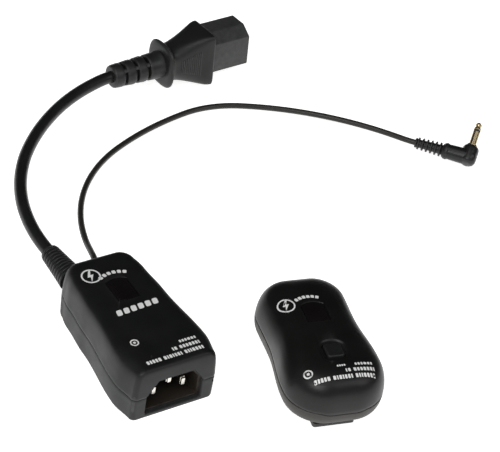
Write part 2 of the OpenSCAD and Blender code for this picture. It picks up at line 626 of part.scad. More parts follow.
// ---- shoe mount ----
hub_r = 4.5;
collar_r = hub_r + 0.06; // bore of the parts that ride on the hub
shoe_screw_x = [-6, 6];
tx_floor = tx_base + wall;

// plate, hub and a flange that rests on the case floor
module shoe_foot() color([0.11, 0.11, 0.115]) at_foot() difference() {
  union() {
    translate([0, 0, 0.9]) linear_extrude(foot_t) rounded_rect(foot_w, 18, 1.2);
    translate([0, 0, 1]) cylinder(r = hub_r, h = 11.3, $fn = 64);
    translate([0, 0, tx_floor + 0.05]) cylinder(r = 8.2, h = 1.4, $fn = 64);
  }
  translate([0, 0, -1]) cylinder(r = 1.26, h = 5, $fn = 32);
  translate([0, 0, 3.4]) cylinder(r = 2.3, h = 20, $fn = 32);
  for (x = shoe_screw_x) translate([x, 0, 8]) cylinder(r = 0.75, h = 10, $fn = 24);
}
module shoe_screws() color(steel) at_foot() for (x = shoe_screw_x) {
  translate([x, 0, tx_floor + 1.5]) cylinder(r = 1.5, h = 1, $fn = 32);
  translate([x, 0, tx_base + 0.4]) cylinder(r = 0.7, h = wall + 1.2, $fn = 24);
}
module clamp_plate() color([0.5, 0.5, 0.52]) at_foot(4.4) difference() {
  linear_extrude(0.7) rounded_rect(17.6, 17.6, 1.6);
  translate([0, 0, -1]) cylinder(r = collar_r, h = 3, $fn = 64);
}
module lock_wheel() color(cord_black) at_foot(5.15) difference() {
  rotate_extrude($fn = 96) polygon([[collar_r, 0], [wheel_d / 2 - 0.7, 0],
    [wheel_d / 2, 0.6], [wheel_d / 2, 2.7], [wheel_d / 2 - 0.6, 3.3], [7.5, 3.3],
    [7.2, 3.5], [collar_r, 3.5]]);
  for (i = [0:wheel_n - 1]) rotate([0, 0, 360 * i / wheel_n])
    translate([wheel_d / 2 + 0.45, 0, -1]) cylinder(r = 1.15, h = 6, $fn = 24);
}
module centre_contact() color([0.82, 0.8, 0.74]) at_foot() {
  translate([0, 0, 0.95]) sphere(r = 0.9, $fn = 32);
  translate([0, 0, 0.95]) cylinder(r = 0.9, h = 1, $fn = 32);
  translate([0, 0, 1.3]) cylinder(r = 1.2, h = 3.4, $fn = 32);
  translate([0, 0, 3.5]) cylinder(r = 2.1, h = 0.8, $fn = 32);
}
module contact_spring() color([0.7, 0.7, 0.7]) at_foot(4.7) coil(1.6, 6.8, 5, 0.28);

rx_top_shell();
rx_bottom_shell();
rx_led_window();
rx_led();
rx_circuit_board();
rx_supply_capacitor();
rx_smoothing_capacitor();
rx_rf_module();
rx_antenna_coil();
rx_trigger_triac();
rx_dip_switch_body();
rx_dip_slider_1();
rx_dip_slider_2();
rx_dip_slider_3();
rx_dip_slider_4();
rx_case_screws();
inlet_housing();
inlet_pins();
mains_conductors();
mains_boot();
mains_cord();
plug_strain_relief();
plug_body();
plug_nose();
plug_contacts();
sync_boot();
sync_cord();
jack_strain_relief();
jack_body();
jack_sleeve();
jack_insulator();
jack_tip();
tx_top_shell();
tx_bottom_shell();
tx_led_window();
tx_led();
test_button();
tact_switch();
tx_circuit_board();
tx_rf_module();
tx_antenna_coil();
tx_dip_switch_body();
tx_dip_slider_1();
tx_dip_slider_2();
tx_dip_slider_3();
tx_dip_slider_4();
tx_case_screws();
battery();
battery_contacts();
battery_door();
shoe_foot();
shoe_screws();
clamp_plate();
lock_wheel();
centre_contact();
contact_spring();
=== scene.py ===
# A wireless strobe trigger set: a receiver with a mains inlet in its front face, a transmitter
# beside it on its right, and a mains cord and a sync cord leaving the receiver's back.
# Layout in mm: x to the right, y back from the receiver's front face, z up from the floor.
# The frame's origin is the middle of the receiver's base. RX is the receiver, TX the transmitter.
import math
import random

import bpy
import bmesh
import numpy as np
from mathutils import Matrix, Vector
from mathutils.bvhtree import BVHTree


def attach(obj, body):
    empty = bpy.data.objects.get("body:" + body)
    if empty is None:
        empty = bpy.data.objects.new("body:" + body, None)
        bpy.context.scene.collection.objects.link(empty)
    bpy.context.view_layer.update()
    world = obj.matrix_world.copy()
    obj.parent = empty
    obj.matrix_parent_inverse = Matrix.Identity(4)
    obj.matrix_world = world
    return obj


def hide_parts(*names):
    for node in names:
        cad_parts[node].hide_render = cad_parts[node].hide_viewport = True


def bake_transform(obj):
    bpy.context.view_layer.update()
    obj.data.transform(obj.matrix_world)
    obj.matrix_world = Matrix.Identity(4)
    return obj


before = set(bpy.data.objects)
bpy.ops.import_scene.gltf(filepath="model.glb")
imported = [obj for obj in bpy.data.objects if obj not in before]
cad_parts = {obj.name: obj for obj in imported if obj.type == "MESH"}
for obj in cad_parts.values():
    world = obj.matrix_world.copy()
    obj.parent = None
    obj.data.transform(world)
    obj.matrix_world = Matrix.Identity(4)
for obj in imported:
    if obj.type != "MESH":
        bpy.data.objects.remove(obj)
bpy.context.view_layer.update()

random.seed(7)
scene = bpy.context.scene

MM = 0.001
RX_LENGTH = 74.0
TX_LENGTH = 73.0
HALF = RX_LENGTH / 2
BUTTON_Y = -14.5  # test button, in the transmitter's place
WHEEL_Y = -20.0  # lock wheel and the hole above it, in the transmitter's place
STRAIN_END = 27.85  # where the plug's strain sleeve meets the overmould
DRUM_X = 27.2  # centre of the sync plug's drum along its barrel
DRUM_END = 6.0  # face of the drum that carries the pin


# ------------------------------------------------------------------ places and paths
def turn_x(degrees):
    cos, sin = math.cos(math.radians(degrees)), math.sin(math.radians(degrees))
    return np.array([[1, 0, 0], [0, cos, -sin], [0, sin, cos]])


def turn_z(degrees):
    cos, sin = math.cos(math.radians(degrees)), math.sin(math.radians(degrees))
    return np.array([[cos, -sin, 0], [sin, cos, 0], [0, 0, 1]])


class Place:
    """A local frame in the layout, mm."""

    def __init__(self, origin=(0, 0, 0), turn=np.eye(3)):
        self.origin, self.turn = np.array(origin, float), turn

    def __call__(self, points):
        return np.asarray(points, float).reshape(-1, 3) @ self.turn.T + self.origin

    def then(self, origin=(0, 0, 0), turn=np.eye(3)):
        return Place(self(origin)[0], self.turn @ turn)


def walk(start, path, step=1.2):
    """Places along a path of straights and arcs, from its start to its end."""
    stations = [start]
    for length, bend, roll in path:
        base = stations[-1]
        count = max(1, math.ceil(length / step))
        plane = base.turn @ turn_x(roll)
        for k in range(1, count + 1):
            run, angle = length * k / count, bend * k / count
            offset = np.array([run, 0, 0])
            if bend:
                radius = length * 180 / (abs(bend) * math.pi)
                ahead = radius * math.sin(math.radians(abs(angle)))
                aside = radius * (1 - math.cos(math.radians(angle)))
                offset = np.array([ahead, math.copysign(aside, bend), 0])
            turn = plane @ turn_z(angle) @ turn_x(-roll)
            stations.append(Place(base.origin + plane @ offset, turn))
    return stations


# Cord paths: length in mm, bend in degrees, roll of the bend's plane in degrees
MAINS_PATH = [
    (14.9, 0, 0), (47.9, -30.2, 0), (10.8, -8.2, -37.2), (10.8, -8.3, 30.9),
    (37.1, -16.8, 0), (33.8, -18.3, 0), (5.5, -11.2, 0), (14, 0, 0)]
SYNC_PATH = [
    (8.8, 0, 0), (8, -16, 90), (8.8, 0, 0), (8, 12.4, 90), (76, -47.2, 0),
    (48.5, -16.8, 0), (30.7, -35.2, 0), (81.5, -32, 0), (8, 8, 0), (9, 0, 0)]

WORLD = Place()
TX = Place((64.3, -7.6, 0), turn_z(-13.8))
TX_CASE_PLACE = TX.then((0, -TX_LENGTH / 2, 0))
MAINS_START = Place((-9.4, 81.5, 13.5), turn_z(92.9))
SYNC_START = Place((3.1, 71.5, 13), turn_z(73.5))
# The last straight of each cord runs inside its plug; local x runs along the plug.
PLUG = walk(MAINS_START, MAINS_PATH[:-1])[-1].then(turn=turn_x(84))
JACK = walk(SYNC_START, SYNC_PATH[:-1])[-1].then(turn=turn_x(30))
PIN = JACK.then((DRUM_X, DRUM_END, 0), np.array([[0, 1, 0], [1, 0, 0], [0, 0, -1]], float))


def smooth_levels(rows, count):
    """Catmull-Rom through control rows, spaced by their first two columns."""
    rows = np.array(rows, float)
    gaps = np.sqrt((np.diff(rows[:, :2], axis=0) ** 2).sum(1)) + 1e-6
    knots = np.r_[0, np.cumsum(gaps)]
    levels = []
    for at in np.linspace(0, knots[-1], count):
        i = min(max(int(np.searchsorted(knots, at, "right") - 1), 0), len(rows) - 2)
        before, after = max(i - 1, 0), min(i + 2, len(rows) - 1)
        span = knots[i + 1] - knots[i]
        part = (at - knots[i]) / span
        leave = (rows[i + 1] - rows[before]) / (knots[i + 1] - knots[before]) * span
        arrive = (rows[after] - rows[i]) / (knots[after] - knots[i]) * span
        levels.append(
            (2 * part**3 - 3 * part**2 + 1) * rows[i]
            + (part**3 - 2 * part**2 + part) * leave
            + (-2 * part**3 + 3 * part**2) * rows[i + 1]
            + (part**3 - part**2) * arrive)
    return levels


# ------------------------------------------------------------------ materials
def material(name, color, rough, grain, bump, vary, wear, depth, metal=0.0, tint=(0, 0, 0),
             coat=0.0, streak=(1, 1, 1), transmission=0.0, edge=None):
    """Procedural surface: grain bump, slow colour and roughness drift, rubbed edges."""
    made = bpy.data.materials.new(name)
    made.use_nodes = True
    nodes, link = made.node_tree.nodes, made.node_tree.links.new
    nodes.clear()

    def add(kind, inputs=None, output=0, **settings):
        """Add a node, set or link its inputs, and return one of its outputs."""
        node = nodes.new("ShaderNode" + kind)
        for key, value in settings.items():
            setattr(node, key, value)
        for key, value in (inputs or {}).items():
            if isinstance(value, bpy.types.NodeSocket):
                link(value, node.inputs[key])
            else:
                node.inputs[key].default_value = value
        return node.outputs[output]

    def noise(vector, scale, detail, **more):
        inputs = {"Vector": vector, "Scale": scale, "Detail": detail, **more}
        return add("TexNoise", inputs, "Fac")

    def remap(value, low, high, to_low=0.0, to_high=1.0):
        return add("MapRange", {"Value": value, "From Min": low, "From Max": high,
                                "To Min": to_low, "To Max": to_high})

    def mix(factor, first, second, blend="MIX"):
        # a colour mix has its factor, A and B at inputs 0, 6 and 7, its result at output 2
        inputs = {0: factor, 6: first, 7: second}
        return add("Mix", inputs, 2, data_type="RGBA", blend_type=blend)

    position = add("TexCoord", output="Object")
    stretched = add("Mapping", {0: position, "Scale": streak})
    fine = noise(stretched, scale=1000.0 / grain, detail=4, Roughness=0.6)
    slow = noise(position, scale=75, detail=5)
    patchy = noise(position, scale=420, detail=3)

    # base colour drifts between two shades; rubbed edges are lighter
    base = np.array(color, float)
    drift = mix(slow, (*(base * (1 - vary)), 1), (*(base * (1 + vary) + np.array(tint)), 1))
    exposed = remap(add("NewGeometry", output="Pointiness"), low=0.515, high=0.60)
    rubbed = add("Math", {0: exposed, 1: patchy}, operation="MULTIPLY")
    worn = add("Math", {0: rubbed, 1: wear}, operation="MULTIPLY", use_clamp=True)
    edge_color = edge or tuple(np.minimum(base * 3 + 0.06, 1))
    edged = mix(worn, drift, (*edge_color, 1))
    # fine speckle in colour so the grain shows even where light is flat
    speckle = remap(fine, low=0.3, high=0.7, to_low=0.6, to_high=1.4)
    speckled = mix(0.35, edged, speckle, "MULTIPLY")

    rough_drift = remap(slow, low=0.3, high=0.7, to_low=max(rough - 0.07, 0.03),
                        to_high=min(rough + 0.07, 1))
    grained = add("Bump", {"Strength": bump, "Distance": depth * MM, "Height": fine})
    waved = add("Bump", {"Strength": 0.25, "Distance": 0.05 * MM, "Height": slow,
                         "Normal": grained})
    surface = {"Base Color": speckled, "Roughness": rough_drift, "Normal": waved,
               "Metallic": metal, "Specular IOR Level": 0.3,
               "Transmission Weight": transmission}
    if coat:
        surface.update({"Coat Weight": coat, "Coat Roughness": 0.08})
    shader = add("BsdfPrincipled", surface)
    link(shader, nodes.new("ShaderNodeOutputMaterial").inputs[0])
    return made


# colour, roughness, grain size mm, grain bump strength, colour variation, edge wear,
# grain depth mm, other arguments of material()
FINISHES = {
    "receiver_top_moulding": ((0.0045, 0.0050, 0.0044), 0.46, 0.30, 0.55, 0.15, 0.55, 0.035, {}),
    "receiver_base_moulding": ((0.012, 0.013, 0.0125), 0.50, 0.30, 0.6, 0.12, 0.55, 0.035, {}),
    "transmitter_top_moulding": ((0.0050, 0.0048, 0.0045), 0.38, 0.26, 0.35, 0.15, 0.45, 0.025, {}),
    "transmitter_base_moulding": ((0.034, 0.031, 0.027), 0.48, 0.28, 0.45, 0.10, 0.3, 0.03, {}),
    "smoked_window": ((0.0030, 0.0022, 0.0022), 0.26, 0.6, 0.08, 0.2, 0.1, 0.01,
                      dict(tint=(0.0006, 0, 0), coat=0.2)),
    "inlet_moulding": ((0.020, 0.017, 0.014), 0.42, 0.3, 0.4, 0.2, 0.8, 0.02,
                       dict(tint=(0.006, 0.003, 0))),
    "cord_sheath": ((0.010, 0.010, 0.0098), 0.34, 0.5, 0.25, 0.2, 0.1, 0.02, {}),
    "sync_cord_sheath": ((0.020, 0.0185, 0.016), 0.36, 0.5, 0.2, 0.2, 0.1, 0.015, {}),
    "plug_overmould": ((0.0125, 0.0125, 0.012), 0.40, 0.35, 0.6, 0.15, 0.6, 0.035, {}),
    "plug_nose_moulding": ((0.020, 0.0205, 0.0195), 0.36, 0.4, 0.35, 0.15, 0.7, 0.02, {}),
    "sync_plug_overmould": ((0.010, 0.010, 0.0105), 0.33, 0.4, 0.35, 0.2, 0.5, 0.02, {}),
    "gold_plate": ((0.46, 0.37, 0.22), 0.24, 0.25, 0.12, 0.12, 0.4, 0.006,
                   dict(metal=1.0, edge=(0.62, 0.54, 0.36))),
    "nickel_plate": ((0.72, 0.70, 0.64), 0.24, 0.3, 0.12, 0.1, 0.4, 0.006,
                     dict(metal=1.0, edge=(0.9, 0.88, 0.84))),
    "stamped_steel": ((0.42, 0.42, 0.43), 0.34, 0.4, 0.3, 0.15, 0.5, 0.01,
                      dict(metal=1.0, streak=(1, 12, 1), edge=(0.7, 0.7, 0.7))),
    "zinc_screw": ((0.55, 0.55, 0.56), 0.3, 0.3, 0.2, 0.15, 0.6, 0.01,
                   dict(metal=1.0, edge=(0.8, 0.8, 0.8))),
    "button_moulding": ((0.011, 0.011, 0.011), 0.36, 0.3, 0.3, 0.15, 0.5, 0.02, {}),
    "wheel_moulding": ((0.012, 0.012, 0.0125), 0.42, 0.3, 0.5, 0.15, 0.9, 0.03, {}),
    "foot_moulding": ((0.018, 0.018, 0.018), 0.45, 0.3, 0.4, 0.15, 0.7, 0.03, {}),
    "white_print": ((0.78, 0.78, 0.76), 0.55, 0.25, 0.5, 0.05, 0.0, 0.01, {}),
    "solder_mask": ((0.02, 0.12, 0.05), 0.3, 0.5, 0.2, 0.15, 0.5, 0.02,
                    dict(coat=0.3, edge=(0.5, 0.45, 0.2))),
    "red_moulding": ((0.45, 0.025, 0.02), 0.35, 0.3, 0.3, 0.1, 0.4, 0.02, {}),
    "white_moulding": ((0.80, 0.80, 0.77), 0.4, 0.3, 0.3, 0.04, 0.2, 0.02,
                       dict(edge=(0.6, 0.6, 0.58))),
    "led_lens": ((0.45, 0.02, 0.015), 0.12, 0.8, 0.05, 0.1, 0.1, 0.01, dict(transmission=0.5)),
    "capacitor_film": ((0.65, 0.42, 0.05), 0.35, 0.4, 0.2, 0.08, 0.3, 0.02, {}),
    "capacitor_sleeve": ((0.03, 0.05, 0.2), 0.3, 0.4, 0.2, 0.12, 0.4, 0.02, dict(coat=0.3)),
    "black_epoxy": ((0.02, 0.02, 0.02), 0.5, 0.25, 0.5, 0.15, 0.4, 0.02, {}),
    "copper_wire": ((0.72, 0.36, 0.16), 0.25, 0.3, 0.15, 0.15, 0.3, 0.01, dict(metal=1.0)),
    "wire_insulation": ((0.22, 0.10, 0.04), 0.4, 0.4, 0.2, 0.2, 0.2, 0.01, {}),
    "battery_sleeve": ((0.05, 0.05, 0.28), 0.25, 0.5, 0.1, 0.15, 0.3, 0.01,
                       dict(metal=0.3, coat=0.5)),
}
materials = {}
for name, (*values, extras) in FINISHES.items():
    materials[name] = material(name, *values, **extras)


# ------------------------------------------------------------------ pieces
# A solid is a pair: points in mm, and faces as tuples of point numbers.
def dress(piece, body=None, replaces=None, slot=None):
    if body:
        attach(piece, body)
    if replaces:
        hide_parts(replaces)


def finish_mesh(piece, sharp=32.0, weld=1e-6):
    """Clean the mesh and mark edges sharp where they turn more than so many degrees."""
    mesh = bmesh.new()
    mesh.from_mesh(piece.data)
    if weld:
        bmesh.ops.remove_doubles(mesh, verts=mesh.verts, dist=weld)
    bmesh.ops.dissolve_degenerate(mesh, edges=mesh.edges, dist=1e-7)
    bmesh.ops.recalc_face_normals(mesh, faces=mesh.faces)
    for face in mesh.faces:
        face.smooth = True
    limit = math.radians(sharp)
    for edge in mesh.edges:
        edge.smooth = not (len(edge.link_faces) == 2 and edge.calc_face_angle(0) > limit)
    mesh.to_mesh(piece.data)
    mesh.free()
    piece.data.update()


def add_piece(name, points, faces, paint):
    """A bare object from points in metres."""
    mesh = bpy.data.meshes.new(name)
    mesh.from_pydata([tuple(point) for point in points], [], faces)
    piece = bpy.data.objects.new(name, mesh)
    scene.collection.objects.link(piece)
    if paint:
        mesh.materials.append(materials[paint])
    return piece


def make(name, solid, paint=None, place=WORLD, sharp=32.0, **dressing):
    """A finished piece from a solid in a place of the layout."""
    placed = place(solid[0])
    placed[:, 1] -= HALF
    piece = add_piece(name, placed * MM, solid[1], paint)
    piece.data.validate(clean_customdata=False)
    finish_mesh(piece, sharp)
    dress(piece, **dressing)
    return piece


def cut(piece, cutters, operation="DIFFERENCE", sharp=32.0):
    """Apply a boolean for each (solid, place) cutter in turn."""
    for solid, place in cutters:
        cutter = make("cutter", solid, place=place)
        boolean = piece.modifiers.new("cut", "BOOLEAN")
        boolean.object, boolean.operation, boolean.solver = cutter, operation, "EXACT"
        bpy.context.view_layer.update()
        evaluated = piece.evaluated_get(bpy.context.evaluated_depsgraph_get())
        trimmed = bpy.data.meshes.new_from_object(evaluated)
        piece.modifiers.clear()
        whole, name = piece.data, piece.data.name
        piece.data = trimmed
        bpy.data.meshes.remove(whole)
        trimmed.name = name
        bpy.data.objects.remove(cutter)
    finish_mesh(piece, sharp)


# ------------------------------------------------------------------ solids and outlines
def loft(rings, capped=True):
    """Stacked rings, all the same length, skinned into a solid."""
    count = len(rings[0])
    faces = []
    for j in range(len(rings) - 1):
        for i in range(count):
            a, b = j * count + i, j * count + (i + 1) % count
            faces.append((a, b, b + count, a + count))
    if capped:
        faces.append(tuple(range(count - 1, -1, -1)))
        faces.append(tuple((len(rings) - 1) * count + i for i in range(count)))
    return np.concatenate([np.asarray(ring, float) for ring in rings]), faces


def circle(x, radius, sides):
    angles = np.linspace(0, 2 * math.pi, sides, endpoint=False)
    return np.c_[np.full(sides, x), radius * np.cos(angles), radius * np.sin(angles)]


def lathe(profile, sides=48):
    """Turned about local x: profile rows are (distance along x, radius)."""
    return loft([circle(x, radius, sides) for x, radius in profile])


def upright(solid, x, y):
    """A solid turned about x, stood on the z axis at (x, y)."""
    points, faces = solid
    return np.c_[points[:, 1] + x, points[:, 2] + y, points[:, 0]], faces


def prism(outline, sections, axis="z", y=0):
    """Outline lofted through (distance along axis, growth per side), shifted along y."""
    outline = np.asarray(outline, float)
    centre = (outline.max(0) + outline.min(0)) / 2
    half = (outline.max(0) - outline.min(0)) / 2
    rings = []
    for distance, grow in sections:
        grown = centre + (outline - centre) * ((half + grow) / half)
        ring = np.insert(grown, "xyz".index(axis), distance, axis=1)
        rings.append(ring + np.array([0, y, 0]))
    return loft(rings)


def join(solids):
    points, faces, start = [], [], 0
    for some_points, some_faces in solids:
        points.append(some_points)
        faces += [tuple(i + start for i in face) for face in some_faces]
        start += len(some_points)
    return np.concatenate(points), faces


def arc(x, y, radius, first, last, count):
    angles = [math.radians(angle) for angle in np.linspace(first, last, count)]
    return [(x + radius * math.cos(angle), y + radius * math.sin(angle)) for angle in angles]


def rounded(width, height, radius, count=7):
    points = []
    for i, (x, y) in enumerate([(1, 1), (-1, 1), (-1, -1), (1, -1)]):
        points += arc(x * (width / 2 - radius), y * (height / 2 - radius), radius,
                      90 * i, 90 * i + 90, count)
    return np.array(points)


def inlet_face(width, height, cut_x, cut_z, low_ease, high_ease):
    """Inlet or plug face: the top corners are cut off and all corners eased."""
    x, z = width / 2, height / 2
    corners = [(-x, -z, low_ease), (x, -z, low_ease), (x, z - cut_z, high_ease),
               (x - cut_x, z, high_ease), (-x + cut_x, z, high_ease), (-x, z - cut_z, high_ease)]
    points = []
    for i, (*corner, ease) in enumerate(corners):
        corner = np.array(corner)
        back = np.array(corners[i - 1][:2]) - corner
        ahead = np.array(corners[(i + 1) % 6][:2]) - corner
        back, ahead = back / np.linalg.norm(back), ahead / np.linalg.norm(ahead)
        reach = ease / math.tan(math.acos(float(back @ ahead)) / 2)
        start, end = corner + back * reach, corner + ahead * reach
        for part in (0, 0.25, 0.5, 0.75, 1):  # a quadratic easing of the corner
            points.append((1 - part) ** 2 * start + 2 * part * (1 - part) * corner
                          + part * part * end)
    return np.array(points)


def arch(width, height, rise, count=14, corner=0.4):
    """From y = 0 to the height, with an arched far end that rises so much."""
    radius = (width * width / 4 + rise * rise) / (2 * rise)
    spread = math.degrees(math.asin(width / 2 / radius))
    points = arc(-width / 2 + corner, corner, corner, 180, 270, 4)
    points += arc(width / 2 - corner, corner, corner, 270, 360, 4)
    points += arc(0, height - radius, radius, 90 - spread, 90 + spread, count)
    return np.array(points)


# ------------------------------------------------------------------ case shapes
def half_width(y, widths):
    """Half width at y, eased between (y, half width) stations."""
    for (start, first), (end, last) in zip(widths[:-1], widths[1:]):
        if y <= end or end == widths[-1][0]:
            part = min(max((y - start) / (end - start), 0), 1)
            return first + (last - first) * (1 - math.cos(math.pi * part)) / 2


def case_outline(widths, length, front, back, corner=14, side=34, end=9):
    """Plan of a case; front and back are corner radii, the rest are point counts."""
    right = arc(half_width(front, widths) - front, front, front, -90, 0, corner)
    side_y = np.linspace(front, length - back, side)[1:-1]
    right += [(half_width(y, widths), y) for y in side_y]
    right += arc(half_width(length - back, widths) - back, length - back, back, 0, 90, corner)
    left = [(-x, y) for x, y in right[::-1]]

    def across(point):
        return [(point[0] * (1 - 2 * i / (end + 1)), point[1]) for i in range(1, end + 1)]

    return np.array(right + across(right[-1]) + left + across(left[-1]))


# distance from the front, half width
RX_WIDTHS = [(0, 19.7), (12.58, 21.8), (44.4, 19.2), (60.68, 18.1), (RX_LENGTH, 15.8)]
TX_WIDTHS = [(0, 21.8), (18.25, 21.9), (43.8, 19.5), (59.86, 19.8), (TX_LENGTH, 19.9)]
# outline, widest half width, length
RX_CASE = (case_outline(RX_WIDTHS, RX_LENGTH, front=2.4, back=6.5), 21.8, RX_LENGTH)
TX_CASE = (case_outline(TX_WIDTHS, TX_LENGTH, front=16.6, back=13.7, corner=18, side=30, end=23),
           21.9, TX_LENGTH)

# Levels of the covers: z, inset of each side, of the front, of the back
RX_TOP_OUTSIDE = [
    (11.5, 0.22, 0.22, 0.22), (11.75, 0, 0, 0), (15, 0.15, 0.04, 0.1), (19, 0.46, 0.1, 0.3),
    (22.4, 1.0, 0.25, 0.73), (24.4, 1.85, 0.42, 1.45), (25.45, 3.0, 0.72, 2.35),
    (25.95, 4.4, 1.2, 3.4), (26.2, 6.0, 2.0, 4.7), (26.33, 8.4, 3.6, 6.8), (26.38, 12, 8, 11)]
RX_TOP_INSIDE = [
    (24.6, 15, 9, 12), (24.3, 9.8, 5.6, 8.5), (23.2, 6, 3.6, 5.2), (21.4, 3.9, 2.6, 3.6),
    (18.8, 2.7, 2.1, 2.6), (11.5, 1.8, 1.8, 1.8)]
RX_BASE_OUTSIDE = [
    (0.02, 0.95, 0.55, 0.75), (0.2, 0.5, 0.28, 0.42), (0.7, 0.25, 0.14, 0.24),
    (1.6, 0.17, 0.1, 0.16), (4, 0.1, 0.06, 0.1), (8, 0.03, 0.02, 0.03), (11.05, 0, 0, 0),
    (11.3, 0.22, 0.22, 0.22)]
RX_BASE_INSIDE = [
    (11.3, 1.8, 1.8, 1.8), (4, 1.9, 1.86, 1.9), (2.6, 2.3, 2.1, 2.2), (1.8, 3.0, 2.5, 2.8)]
TX_TOP_OUTSIDE = [
    (15.3, 0.22, 0.22, 0.22), (15.55, 0, 0, 0), (19, 0.2, 0.2, 0.2), (22.3, 0.75, 0.75, 0.75),
    (25, 1.72, 1.72, 1.72), (27.25, 3.25, 3.25, 3.25), (28.75, 5.45, 5.4, 5.45),
    (29.65, 8.3, 8.1, 8.3), (30.1, 11.5, 11.3, 11.5), (30.25, 14.5, 14.5, 14.5),
    (30.27, 17, 18, 18)]
TX_TOP_INSIDE = [
    (28.45, 14, 14, 14), (28.15, 10.4, 10.4, 10.4), (27.05, 6.8, 6.8, 6.8),
    (24.8, 4.1, 4.1, 4.1), (21.3, 2.6, 2.6, 2.6), (15.3, 1.8, 1.8, 1.8)]
TX_BASE_OUTSIDE = [
    (9.0, 1.9, 1.9, 1.9), (9.12, 1.5, 1.5, 1.5), (9.5, 1.0, 1.0, 1.0), (10.6, 0.55, 0.55, 0.55),
    (12.4, 0.15, 0.15, 0.15), (14.9, 0, 0, 0), (15.1, 0.2, 0.2, 0.2)]
TX_BASE_INSIDE = [
    (15.1, 1.8, 1.8, 1.8), (12.6, 2.05, 2.05, 2.05), (11.4, 2.4, 2.4, 2.4), (10.8, 3.4, 3.4, 3.4)]


def shell(name, case, passes, paint, place=WORLD, warp=None):
    """A case cover lofted through passes of (levels, ring count)."""
    outline, widest, length = case
    rings = []
    for rows, count in passes:
        for z, side, front, back in smooth_levels(rows, count):
            x = outline[:, 0] * (1 - side / widest)
            y = front + outline[:, 1] * (length - front - back) / length
            ring = np.c_[x, y, np.full(len(outline), z)]
            rings.append(warp(ring) if warp else ring)
    return make(name, loft(rings), paint, place)


def screw_holes(spots, profile, place):
    """A hole at each (x, y) and its mirror across x; profile rows are (z, radius)."""
    hole = lathe(profile, 32)
    return [(upright(hole, side * x, y), place) for x, y in spots for side in (1, -1)]


DIP_OPENING = rounded(12, 10.2, 0.6, 4)

# ------------------------------------------------------------------ receiver
inlet_opening = inlet_face(26.5, 17, cut_x=5, cut_z=7, low_ease=1.3, high_ease=0.6)
inlet_opening[:, 1] += 10.4
inlet_mouth = prism(inlet_opening, [(-1.0, 0.55), (0.02, 0.42), (0.35, 0.12), (0.75, 0), (4, 0)],
                    "y")
inlet_pocket = prism(rounded(28, 18.9, 0.3, 3) + np.array([0, 11.05]), [(2.5, 0), (23.6, 0)], "y")
RX_OPENINGS = [  # shared by both covers
    (inlet_mouth, WORLD), (inlet_pocket, WORLD),
    (lathe([(-12.7, 5.3), (-6.0, 5.3)]), MAINS_START),
    (lathe([(-6, 2.65), (4.4, 2.65)], 32), SYNC_START)]

receiver_top = shell("receiver_top_cover", RX_CASE, [(RX_TOP_INSIDE, 8), (RX_TOP_OUTSIDE, 34)],
                     "receiver_top_moulding")
window_opening = prism(arch(10.1, 14.1, 1.6), [(20, 0), (26.15, 0), (26.5, 0.2), (27.4, 0.6)],
                       y=42.25)
cut(receiver_top, RX_OPENINGS + [(window_opening, WORLD)])
dress(receiver_top, "receiver", "rx_top_shell", "case_top")

receiver_base = shell("receiver_base_cover", RX_CASE,
                      [(RX_BASE_OUTSIDE, 22), (RX_BASE_INSIDE, 6)], "receiver_base_moulding")
dip_opening = prism(DIP_OPENING, [(-1, 0.4), (0, 0.3), (0.4, 0), (3, 0)], y=44)
# small notch at the right of the front face
front_notch = prism(rounded(3.4, 1.9, 0.35, 4) + np.array([19.6, 9.35]), [(-1, 0), (1.5, 0)], "y")
cut(receiver_base, [
    *RX_OPENINGS, (dip_opening, WORLD),
    *screw_holes([(11.1, 29.5), (12, 61)],
                 [(-1, 2.7), (0, 2.55), (0.25, 2.3), (1.75, 2.3), (2.0, 1.2), (8, 1.2)], WORLD),
    (front_notch, WORLD)])
dress(receiver_base, "receiver", "rx_bottom_shell", "case_bottom")

make("receiver_led_window",
     prism(arch(9.75, 13.75, 1.55), [(24.3, 0), (25.95, 0), (26.2, -0.06), (26.32, -0.3)],
           y=42.42),
     "smoked_window", body="receiver", replaces="rx_led_window", slot="window")


# ------------------------------------------------------------------ transmitter
def jog(ring):
    """Step the parting line down across the middle of the front."""
    x, y, z = ring.T
    near_seam = np.clip(1 - np.abs(z - 15.2) / 2.2, 0, 1) * np.clip(1 - y / 5.0, 0, 1)
    near_middle = np.clip((9.2 - np.abs(x)) / 1.6, 0, 1)
    return np.c_[x, y, z - 0.85 * near_seam * near_middle]


transmitter_top = shell("transmitter_top_cover", TX_CASE,
                        [(TX_TOP_INSIDE, 8), (TX_TOP_OUTSIDE, 34)],
                        "transmitter_top_moulding", TX_CASE_PLACE, jog)
window_opening = prism(arch(10.5, 12.1, 1.9), [(24, 0), (30.0, 0), (30.4, 0.25), (31.25, 0.7)],
                       y=3.45)
button_dish = prism(arch(11.8, 12.4, 3.4, 22, 2.2),
                    [(29.65, -0.55), (29.8, -0.25), (30.15, 0), (30.35, 0.35), (31.25, 1.0)],
                    y=-20.3)
button_hole = prism(rounded(8.6, 8.6, 1.5), [(24, 0), (29.45, 0), (29.7, 0.12), (31.25, 0.12)],
                    y=BUTTON_Y)
cut(transmitter_top, [(window_opening, TX), (button_dish, TX), (button_hole, TX)])
dress(transmitter_top, "transmitter", "tx_top_shell", "tx_case_top")

